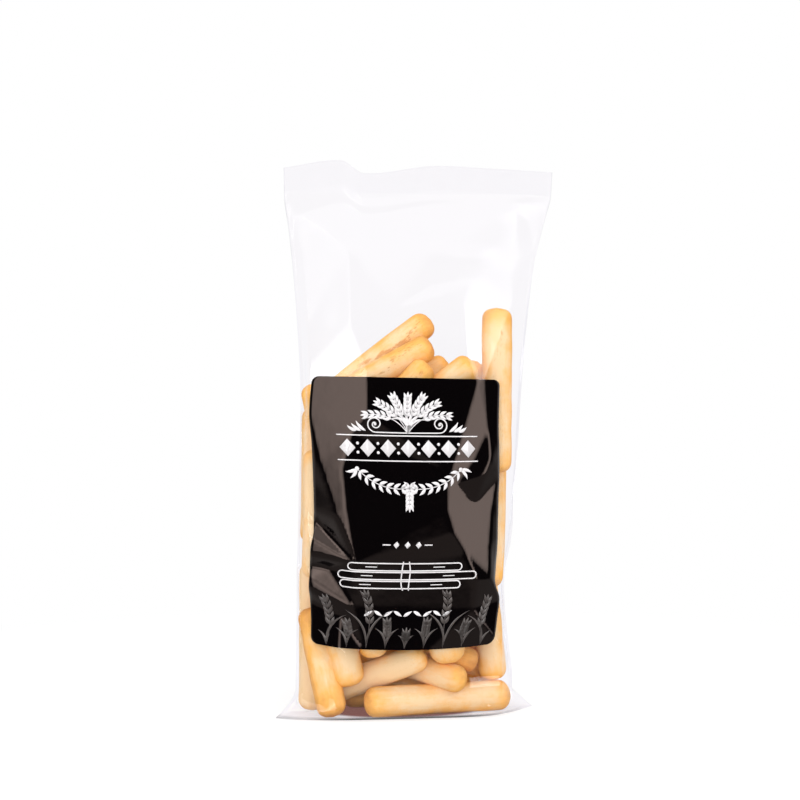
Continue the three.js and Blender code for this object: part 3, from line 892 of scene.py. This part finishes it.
def bread_material():
    """Dry crust, from pale to brown, with streaks along it, fine pits, and cracks at an open seam."""
    material, tree = new_material("bread_crust")
    place = node(tree, "Attribute", attribute_name="stick_place").outputs["Vector"]
    bake_and_shade, tone, seam = (node(tree, "Attribute", attribute_name=name).outputs["Fac"]
                        for name in ("bake_and_shade", "tone", "seam"))
    grain = node(tree, "Mapping", {"Vector": place, "Scale": BREAD_GRAIN}).outputs[0]
    long_grain = node(tree, "Mapping", {"Vector": place, "Scale": BREAD_LONG_GRAIN}).outputs[0]
    patches = noise(tree, place, 150.0, 3.0)
    streaks = noise(tree, long_grain, 700.0, 5.0, 0.62)
    crumb = noise(tree, place, 1900.0, 3.0, 0.7)
    cracks = noise(tree, grain, 620.0, 3.0)
    pores = node(tree, "TexVoronoi", {"Vector": grain, "Scale": 1250.0}).outputs["Distance"]
    # The crust colour comes from the bake with its painted shade, the tone and the textures.
    baked_and_shaded = math_node(tree, "ADD", math_node(tree, "ADD", bake_and_shade, tone), BREAD_START)
    for texture, share in ((patches, BREAD_PATCHES), (streaks, BREAD_STREAKS), (crumb, BREAD_CRUMB)):
        baked_and_shaded = math_node(tree, "MULTIPLY_ADD", texture, share, baked_and_shaded)
    crust_colours = node(tree, "ValToRGB", {"Fac": baked_and_shaded})
    stops = crust_colours.color_ramp.elements
    stops[0].color, stops[1].color = BREAD_PALE, BREAD_BROWN
    stops.new(BREAD_GOLD_AT).color = BREAD_GOLD
    pit_reach = math_node(tree, "MULTIPLY_ADD", seam, 0.30, 0.17)
    pit = span(tree, math_node(tree, "SUBTRACT", pit_reach, pores), 0.0, 0.10)
    pit = times(tree, pit, math_node(tree, "MULTIPLY_ADD", seam, 0.30, 0.30))
    open_seam = math_node(tree, "MULTIPLY_ADD", seam, 0.30, math_node(tree, "SUBTRACT", cracks, 0.72))
    crack = span(tree, open_seam, 0.0, 0.10, 0.0, 0.6)
    crack = times(tree, crack, math_node(tree, "GREATER_THAN", seam, 0.02))
    # Pits and cracks are painted towards brown as shade in them, and the bump below sinks them.
    depth = math_node(tree, "MAXIMUM", pit, crack)
    colour = mix_colours(tree, depth, crust_colours.outputs["Color"], BREAD_BROWN)
    height = math_node(tree, "MULTIPLY_ADD", streaks, 0.7, times(tree, crumb, 0.4))
    height = math_node(tree, "MULTIPLY_ADD", depth, -1.6, height)
    bump = node(tree, "Bump", {"Height": height, "Strength": 0.5, "Distance": 0.0004})
    finish_material(tree, node(tree, "BsdfPrincipled", {
        "Base Color": colour, "Roughness": 0.62, "Specular IOR Level": 0.35, "Normal": bump.outputs[0]}))
    return material


def make_sticks():
    """All breadsticks as one piece. Gives back their points, which the film is drawn in over."""
    heap = Heap()
    heap.settle()
    rng = random.Random(STICK_SEED)
    parts, faces = [], []
    for n, (ends, radius) in enumerate(zip(heap.ends, heap.radius)):
        surface, local, bake_and_shade, seam = stick_mesh(*ends, radius, rng)
        darker, seamed = (0.0, 0.0) if heap.hidden[n] else SHOWN_STICKS[n][3:]
        tone = np.full(len(bake_and_shade), darker + rng.uniform(-BREAD_TONES, BREAD_TONES))
        parts.append((surface, local * MM + n * TEXTURE_APART, bake_and_shade, tone, seam * seamed))
        faces += stick_faces(n * STICK_ALONG * STICK_AROUND)
    points, *attributes = (np.concatenate(part) for part in zip(*parts))
    points[:, 2] = np.maximum(points[:, 2], STICK_FOOT)
    sticks = mesh_piece("breadsticks", points, faces, bread_material())
    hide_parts("bag")
    for name, values in zip(("stick_place", "bake_and_shade", "tone", "seam"), attributes):
        kind, field = ("FLOAT", "value") if values.ndim == 1 else ("FLOAT_VECTOR", "vector")
        layer = sticks.data.attributes.new(name, kind, "POINT")
        layer.data.foreach_set(field, values.astype(np.float32).ravel())
    return points


# ---------------------------------------------------------------- the label

LABEL_STEP = 1.0
LABEL_FACE = 0.62  # of the label's front, clear of the film
LABEL_BACK = 0.42
LABEL_MIDDLE = ((LABEL_LEFT + LABEL_RIGHT) / 2, (LABEL_BOTTOM + LABEL_TOP) / 2)
LABEL_BLACK = (0.0012, 0.0008, 0.0011, 1.0)
LABEL_GLOSS_TINT = (1.0, 0.76, 0.67, 1.0)


def label_points(film, x, z, gap):
    """Points over the film by a gap, at places on the flat label, as it lies over the folds."""
    across = (np.ravel(x) - LABEL_LEFT) / (LABEL_RIGHT - LABEL_LEFT)
    up = (np.ravel(z) - LABEL_BOTTOM) / (LABEL_TOP - LABEL_BOTTOM)
    low, high = (left * (1 - across) + right * across for left, right in LABEL_CORNERS)
    low = low - LABEL_BOTTOM_SAG * 4 * across * (1 - across)
    height = low * (1 - up) + high * up
    left, right = along(LABEL_SIDES, height)
    place = left * (1 - across) + right * across
    return np.stack([place, -film.front_depth(place, height) - gap, height], -1)


def label_material():
    material, tree = new_material("label_gloss")
    waves = noise(tree, node(tree, "TexCoord").outputs["Object"], 160.0, 2.0)
    bump = node(tree, "Bump", {"Height": waves, "Strength": 0.12, "Distance": 0.0006})
    finish_material(tree, node(tree, "BsdfPrincipled", {
        "Base Color": LABEL_BLACK, "Roughness": 0.085, "Specular IOR Level": 0.30,
        "Specular Tint": LABEL_GLOSS_TINT, "Normal": bump.outputs[0]}))
    return material


def corner_inset(z):
    """How far the label's rounded corners draw its sides in at these heights."""
    near_end = np.minimum(z - LABEL_BOTTOM, LABEL_TOP - z)
    rise = np.maximum(0, LABEL_CORNER - near_end)
    return LABEL_CORNER - np.sqrt(np.maximum(0, LABEL_CORNER**2 - rise**2))


def make_label(film):
    corner = LABEL_CORNER * (1 - np.cos(np.linspace(0, math.pi / 2, 8)))
    body = np.arange(LABEL_BOTTOM + LABEL_CORNER + LABEL_STEP, LABEL_TOP - LABEL_CORNER, LABEL_STEP)
    heights = np.concatenate([LABEL_BOTTOM + corner, body, (LABEL_TOP - corner)[::-1]])
    columns = round((LABEL_RIGHT - LABEL_LEFT) / LABEL_STEP) + 1
    share = np.linspace(0, 1, columns)[None, :]
    inset = corner_inset(heights)[:, None]
    x = (LABEL_LEFT + inset) * (1 - share) + (LABEL_RIGHT - inset) * share
    z = heights[:, None] + 0 * x
    layers = [label_points(film, x, z, gap) for gap in (LABEL_FACE, LABEL_BACK)]
    rows, count = len(heights), len(heights) * columns
    face = grid_faces(rows, columns)
    rim = [r * columns for r in range(rows)] + [(rows - 1) * columns + c for c in range(1, columns)]
    rim += [r * columns + columns - 1 for r in range(rows - 2, -1, -1)] + list(range(columns - 2, 0, -1))
    edge = [(a, b, b + count, a + count) for a, b in zip(rim, rim[1:] + rim[:1])]
    faces = [*face, *(face[:, ::-1] + count), *edge]
    label = mesh_piece("label_sheet", np.concatenate(layers), faces, label_material())
    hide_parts("label")


# ---------------------------------------------------------------- the label's print

PRINT_LIFT = 0.16  # over the label's face
PRINT_THICKNESS = 0.08
PRINT_STEP = 1.0  # along a strip, at most
FINE = 0.30  # width of the finest lines
LINE = 0.44


class Print:
    """Flat shapes on the label, made as thin strips. Their points are x + iz, from the label's middle."""

    def __init__(self):
        self.strips = []

    def strip(self, path, width):
        """A strip along a path, with one width or a width at each of its points."""
        path, width = np.asarray(path, complex), np.broadcast_to(width, len(path))
        run = np.concatenate([[0], np.cumsum(np.abs(np.diff(path)))])
        places = np.union1d(run, np.arange(0, run[-1], PRINT_STEP))
        self.strips.append((np.interp(places, run, path), np.interp(places, run, width) / 2))

    def line(self, points, width=FINE):
        """A line on a smooth curve through points."""
        points = np.asarray(points, complex)
        stations = np.stack([np.arange(len(points)), points.real, points.imag], -1)
        x, z = along(stations, np.linspace(0, len(points) - 1, 8 * len(points)))
        self.strip(x + 1j * z, width)

    def leaf(self, foot, tip, width, bow=0.0):
        """A leaf or a grain, whose middle is off the straight line by a share of its length."""
        t = np.linspace(0, 1, 9)
        self.strip(bowed(foot, tip, bow, t), 0.04 + width * np.sin(math.pi * t**0.8))

    def dot(self, centre, radius):
        turn = np.linspace(0, math.pi, 9)
        self.strip(centre - radius * np.cos(turn), 0.02 + 2 * radius * np.sin(turn))

    def lozenge(self, centre, across, up):
        share = np.array([-1, 0, 1])
        self.strip(centre + share * across, 0.02 + 2 * up * (1 - np.abs(share)))

    def rod(self, centre, length, thickness):
        """The outline of a breadstick with two pricks along it."""
        turn = np.linspace(-math.pi / 2, math.pi / 2, 9)
        cap = length / 2 - thickness / 2 + thickness / 2 * np.exp(1j * turn)
        self.strip(centre + np.concatenate([cap, -cap, cap[:1]]), LINE)
        for share in (-0.3, 0.3):
            self.strip(centre + share * length + np.array([-2.2, 2.2]), FINE)

    def spray(self, foot, tip, bow, first, pairs, size, spread):
        """A bowed stalk with pairs of leaves or grains from a first share of it on, and one at its tip."""
        self.strip(bowed(foot, tip, bow, np.linspace(0, 1, 12)), FINE)
        for t in np.linspace(first, 1, pairs):
            at, after = bowed(foot, tip, bow, np.array([t, t + 0.01]))
            heading = (after - at) / abs(after - at)
            for side in (-1, 1):
                self.leaf(at, at + size * heading * cmath.rect(1, side * spread), size * 0.36, 0.06 * side)
        self.leaf(at, at + size * heading, size * 0.34)

    def make(self, film, name, slot, material):
        """Lays all strips on the label as closed thin solids in one piece."""
        left, right, faces, count = [], [], [], 0
        for path, half in self.strips:
            heading = np.gradient(path)
            aside = 1j * heading / np.abs(heading) * half
            left.append(path + aside)
            right.append(path - aside)
            end = count + 4 * len(path)
            faces += list(grid_faces(len(path), 4, closed=True) + count)
            faces += [tuple(range(count + 3, count - 1, -1)), tuple(range(end - 4, end))]
            count = end
        left, right = (np.concatenate(side) + complex(*LABEL_MIDDLE) for side in (left, right))
        outer = LABEL_FACE + PRINT_LIFT
        inner = outer - PRINT_THICKNESS
        corners = ((left, outer), (right, outer), (right, inner), (left, inner))
        points = [label_points(film, edge.real, edge.imag, gap) for edge, gap in corners]
        mesh_piece(name, np.stack(points, 1).reshape(-1, 3), faces, material)


def bowed(foot, tip, bow, t):
    """Points on a line from foot to tip that bows to its left by a share of its length."""
    return foot + (tip - foot) * (t + 4j * bow * t * (1 - t))


SHEAF_FOOT = 29.8j
SHEAF_EARS = 7
SHEAF_TURN = math.radians(21.5)  # between ears
BAND_MIDDLE = 24.2j
BAND_HALF = 26.4
BAND_LOZENGES = 7
SWAG_HALF = 19.5
SWAG_TOP = 16.4
SWAG_SAG = 7.0
MARKS_MIDDLE = -11.6j
BUNDLE_MIDDLE = -23.2j
BUNDLE_RODS = ((-3.3, -1.6, 45.0), (0.0, 0.8, 52.0), (3.3, -0.4, 43.0))  # up, aside, length
BUNDLE_ROD = 2.7
PLAIT_MIDDLE = -37.2j
PLAIT_GRAINS = 9
FOOT_EDGE = -50.0j
FOOT_HEIGHTS = (19.0, 11.0, 22.0, 12.0, 8.0, 12.0, 22.0, 11.0, 19.0)
FOOT_SPACING = 7.5


def sheaf(art):
    """A fan of ears of wheat over a pair of scrolls."""
    for n in range(SHEAF_EARS):
        place = n - (SHEAF_EARS - 1) / 2
        angle = math.pi / 2 - place * SHEAF_TURN
        reach = 12.6 + 1.1 * abs(place)
        tip = SHEAF_FOOT + cmath.rect(reach, angle)
        art.spray(SHEAF_FOOT, tip, 0.05 * place, 0.5, 5, 3.0, 0.5)
        blade = SHEAF_FOOT + cmath.rect(8.6, angle - SHEAF_TURN / 2)
        if n < SHEAF_EARS - 1:
            art.leaf(SHEAF_FOOT, blade, 1.1, 0.12 * place)
    for side in (-1, 1):
        turn = np.linspace(0, 3.2 * math.pi, 40)
        curl = (3.1 - 0.27 * turn) * np.exp(1j * (turn - math.pi / 2))
        scroll = 12.0 + 3.4j + np.concatenate([np.linspace(-12 - 3.2j, -0.4 - 3.1j, 8), curl])
        art.strip(SHEAF_FOOT + scroll.real * side + 1j * scroll.imag, LINE)
        art.dot(SHEAF_FOOT + side * 12.0 + 3.4j, 0.55)
        for share, reach in ((0.0, 5.0), (0.5, 4.4), (1.0, 3.8)):
            foot = SHEAF_FOOT + side * (15.5 + 3.4 * share) + 0.8j
            heading = math.pi / 2 - side * (0.75 + 0.3 * share)
            art.leaf(foot, foot + cmath.rect(reach, heading), 1.2, -0.1 * side)


def lozenge_band(art):
    """A row of lozenges and dots between two rules."""
    for up in (-4.7j, 4.7j):
        art.strip([BAND_MIDDLE + up - BAND_HALF, BAND_MIDDLE + up + BAND_HALF], LINE)
    pitch = 2 * BAND_HALF / BAND_LOZENGES
    for n in range(BAND_LOZENGES):
        centre = BAND_MIDDLE + (n - (BAND_LOZENGES - 1) / 2) * pitch
        art.lozenge(centre, 2.9, 3.3)
        if n < BAND_LOZENGES - 1:
            art.dot(centre + pitch / 2 + 1.7j, 0.55)
            art.dot(centre + pitch / 2 - 1.7j, 0.55)


def swag(art):
    """A hanging garland of leaves with an ear at its middle."""
    for side in (-1, 1):
        hook = side * SWAG_HALF + 1j * SWAG_TOP
        art.spray(hook, 1j * (SWAG_TOP - SWAG_SAG), 0.13 * side, 0.06, 8, 3.3, 0.7)
        art.leaf(hook, hook + side * 2.6 - 3.6j, 1.2, 0.1)
        art.leaf(hook, hook + side * 4.4 - 1.2j, 1.2, 0.1)
        art.dot(hook, 0.8)
    art.spray(1j * (SWAG_TOP - SWAG_SAG + 1), 1j * (SWAG_TOP - SWAG_SAG - 6), 0, 0.1, 5, 3.0, 0.5)


def marks(art):
    """Three small lozenges with two short dashes."""
    for n in (-1, 0, 1):
        art.lozenge(MARKS_MIDDLE + 4.2 * n, 1.1, 1.3)
    for side in (-1, 1):
        art.strip([MARKS_MIDDLE + side * 6.4, MARKS_MIDDLE + side * 9.4], LINE)


def bundle(art):
    """A tied bundle of breadsticks in outline."""
    for up, aside, length in BUNDLE_RODS:
        art.rod(BUNDLE_MIDDLE + aside + 1j * up, length, BUNDLE_ROD)
    for side in (-1, 1):
        tie = BUNDLE_MIDDLE + np.array([1.1 + 5.4j, 1.5 + 2.6j, 1.6, 1.5 - 2.6j, 1.1 - 5.4j]) * side
        art.line(tie, LINE)


def plait(art):
    """A chain of slanted grains."""
    for n in range(PLAIT_GRAINS):
        centre = PLAIT_MIDDLE + (n - (PLAIT_GRAINS - 1) / 2) * 3.7
        half = cmath.rect(1.9, 0.55 * (-1) ** n)
        art.leaf(centre - half, centre + half, 1.15)


def foot_border(art):
    """Ears and blades of wheat that grow from the label's lower edge, with short blades at its ends."""
    outermost = (len(FOOT_HEIGHTS) - 1) / 2
    for n, height in enumerate(FOOT_HEIGHTS):
        place = n - outermost
        foot = FOOT_EDGE + place * FOOT_SPACING
        art.spray(foot, foot + 1j * (height - 3.5), 0.02 * place, 0.48, 5, 3.4, 0.48)
        for side in (-1, 1):
            reach = (0.3 if abs(place - side) > outermost else 0.72) * height
            art.leaf(foot, foot + cmath.rect(reach, math.pi / 2 + 0.55 * side), 0.9, -0.16 * side)


INK_WHITE = (0.80, 0.77, 0.78, 1.0)
INK_GREY = (0.062, 0.050, 0.046, 1.0)
INK_THIN = 0.86  # share of its colour where least of it lies


def ink_material(name, colour):
    material, tree = new_material(name)
    cover = noise(tree, node(tree, "TexCoord").outputs["Object"], 1500.0, 2.0)
    thin = tuple(INK_THIN * part for part in colour[:3]) + (1.0,)
    finish_material(tree, node(tree, "BsdfPrincipled", {
        "Base Color": mix_colours(tree, cover, thin, colour), "Roughness": 0.22, "Specular IOR Level": 0.42}))
    return material


def make_print(film):
    white, grey = Print(), Print()
    for draw in (sheaf, lozenge_band, swag, marks, bundle, plait):
        draw(white)
    foot_border(grey)
    white.make(film, "label_print", "print", ink_material("white_ink", INK_WHITE))
    grey.make(film, "label_foot_print", "print", ink_material("grey_ink", INK_GREY))


# ---------------------------------------------------------------- the stage, in metres

FLOOR_SIZE = 6.0
FLOOR_DROP = 0.0002
FLOOR_COLOUR = (0.88, 0.88, 0.88, 1.0)
FLOOR_SEEN = (0.48, 0.48, 0.49, 1.0)  # of the light on the floor, what the camera sees
FLOOR_LIFT = 0.58  # added to it, so that soft shadows wash out to white
FLOOR_WHITE = (0.12, 0.32)  # from the first distance to the second the floor turns into plain white


def make_floor():
    """A plain white floor. A mirrored ray passes through it, as if the pack stood on a stand."""
    bpy.ops.mesh.primitive_plane_add(size=FLOOR_SIZE, location=(0, 0, -FLOOR_DROP))
    floor = bpy.context.object
    floor.name = "floor"
    material, tree = new_material("floor_white")
    matt = node(tree, "BsdfDiffuse", {"Color": FLOOR_COLOUR})
    seen = node(tree, "BsdfDiffuse", {"Color": FLOOR_SEEN})
    lift = node(tree, "Emission", {"Strength": FLOOR_LIFT})
    lifted = node(tree, "AddShader", {0: seen.outputs[0], 1: lift.outputs[0]})
    distance = length_of(tree, node(tree, "TexCoord").outputs["Object"])
    path = node(tree, "LightPath").outputs
    near = mix_shaders(tree, path["Is Camera Ray"], matt, lifted)
    far = node(tree, "Emission", {"Strength": 1.0})
    surface = mix_shaders(tree, span(tree, distance, *FLOOR_WHITE), near, far)
    finish_material(tree, mix_shaders(tree, path["Is Glossy Ray"], surface, node(tree, "BsdfTransparent")))
    floor.data.materials.append(material)


WORLD_AMBIENT = 1.30  # of the light that falls on things, from in front
WORLD_AMBIENT_BEHIND = 0.65  # and from behind
WORLD_FRONT = 0.03  # what a mirrored ray sees in front of the pack
WORLD_TABLE = 0.55  # and what it sees there looking down
WORLD_CEILING = 3.0  # and looking up
WORLD_BEHIND = 0.95
# Each change takes place between two values of a ray's part upwards (table, ceiling) or to the back.
AMBIENT_TURN = (-0.9, 0.2)
TABLE_TURN = (-0.085, -0.19)
CEILING_TURN = (0.48, 0.58)
BEHIND_TURN = (-0.15, 0.25)


def make_world():
    """White as the camera sees it, and in mirrors white behind the pack and dark in front of it."""
    world = bpy.data.worlds.new("studio")
    world.use_nodes = True
    tree = world.node_tree
    tree.nodes.clear()
    path = node(tree, "LightPath").outputs
    ray = node(tree, "SeparateXYZ", {0: node(tree, "TexCoord").outputs["Generated"]}).outputs
    table = span(tree, ray["Z"], *TABLE_TURN, WORLD_FRONT, WORLD_TABLE)
    front = span(tree, ray["Z"], *CEILING_TURN, table, WORLD_CEILING)
    mirrored = span(tree, ray["Y"], *BEHIND_TURN, front, WORLD_BEHIND)
    ambient = span(tree, ray["Y"], *AMBIENT_TURN, WORLD_AMBIENT, WORLD_AMBIENT_BEHIND)
    lit = node(tree, "Mix", {0: path["Is Glossy Ray"], 2: ambient, 3: mirrored}).outputs[0]
    strength = node(tree, "Mix", {0: path["Is Camera Ray"], 2: lit, 3: 1.0}).outputs[0]
    light = node(tree, "Background", {"Color": (1, 1, 1, 1), "Strength": strength})
    node(tree, "OutputWorld", {"Surface": light.outputs[0]})
    bpy.context.scene.world = world


# Softboxes that only mirrors show, beside the camera: side, bottom, top and radiance.
MIRRORED_SOFTBOXES = (
    ("left", -0.02, 0.30, 5.0),
    ("left", 0.30, 1.30, 4.0),
    ("right", -0.02, 0.30, 5.0),
    ("right", 0.30, 1.30, 6.0),
)
SOFTBOX_PLACES = {"left": (-0.50, -0.72, 0.50), "right": (0.62, -0.62, 0.46)}  # across, back, and width
SOFTBOX_FADE = 0.40  # the share of its width, at each side, over which one fades
SOFTBOX_AT_EDGE = 0.25
SOFTBOX_AT_MIDDLE = 1.15

# Softboxes that only light things: name, place, width, height and radiance.
LIGHTING_SOFTBOXES = (
    ("top_softbox", (0.0, -0.25, 0.85), 0.8, 0.7, 0.9),
    ("front_softbox", (-0.12, -0.85, 0.14), 0.5, 0.5, 3.8),
)
SOFTBOX_AIM = (0.0, 0.0, 0.1)


def fade_sides(light):
    """Makes a softbox brighter in the middle than at its two sides, as cloth over a lamp is."""
    light.use_nodes = True
    tree = light.node_tree
    place = node(tree, "NewGeometry").outputs["Parametric"]
    across = node(tree, "SeparateXYZ", {0: place}).outputs["X"]
    aside = math_node(tree, "ABSOLUTE", math_node(tree, "SUBTRACT", across, 0.5))
    strength = span(tree, aside, 0.5, 0.5 - SOFTBOX_FADE, SOFTBOX_AT_EDGE, SOFTBOX_AT_MIDDLE)
    tree.links.new(strength, tree.nodes["Emission"].inputs["Strength"])


def softbox(name, place, aim, width, height, radiance, mirrored):
    """A soft light, seen only in mirrors or only as light on things. Its radiance sets its power."""
    light = bpy.data.lights.new(name, "AREA")
    light.shape = "RECTANGLE"
    light.size, light.size_y = width, height
    light.energy = radiance * math.pi * width * height
    lamp = bpy.data.objects.new(name, light)
    lamp.location = place
    lamp.rotation_euler = (Vector(aim) - Vector(place)).to_track_quat("-Z", "Y").to_euler()
    lamp.visible_camera = False
    lamp.visible_glossy = mirrored
    lamp.visible_diffuse = not mirrored
    if mirrored:
        fade_sides(light)
    bpy.context.scene.collection.objects.link(lamp)


def make_softboxes():
    for side, low, high, radiance in MIRRORED_SOFTBOXES:
        x, y, width = SOFTBOX_PLACES[side]
        z = (low + high) / 2
        softbox(f"{side}_softbox", (x, y, z), (0, 0, z), width, high - low, radiance, mirrored=True)
    for name, place, width, height, radiance in LIGHTING_SOFTBOXES:
        softbox(name, place, SOFTBOX_AIM, width, height, radiance, mirrored=False)


CAMERA_LENS = 75.0
CAMERA_SENSOR = 36.0
CAMERA_DISTANCE = 0.650
CAMERA_AZIMUTH = math.radians(-8.0)
CAMERA_HEIGHT = 0.121
CAMERA_ASIDE = 0.0049  # the middle of the picture is this far left of the pack's middle


def make_camera():
    camera = bpy.data.cameras.new("camera")
    camera.lens = CAMERA_LENS
    camera.sensor_width = CAMERA_SENSOR
    camera.clip_start = 0.01
    eye = bpy.data.objects.new("camera", camera)
    forward = Vector((-math.sin(CAMERA_AZIMUTH), math.cos(CAMERA_AZIMUTH), 0))
    right = Vector((math.cos(CAMERA_AZIMUTH), math.sin(CAMERA_AZIMUTH), 0))
    eye.location = Vector((0, 0, CAMERA_HEIGHT)) - forward * CAMERA_DISTANCE
    aim = Vector((0, 0, CAMERA_HEIGHT)) - right * CAMERA_ASIDE
    eye.rotation_euler = (aim - eye.location).to_track_quat("-Z", "Y").to_euler()
    bpy.context.scene.collection.objects.link(eye)
    bpy.context.scene.camera = eye


contents = make_sticks()
film = Film(contents)
film.make()
make_label(film)
make_print(film)
make_floor()
make_world()
make_softboxes()
make_camera()
bpy.context.scene.view_settings.view_transform = "Standard"
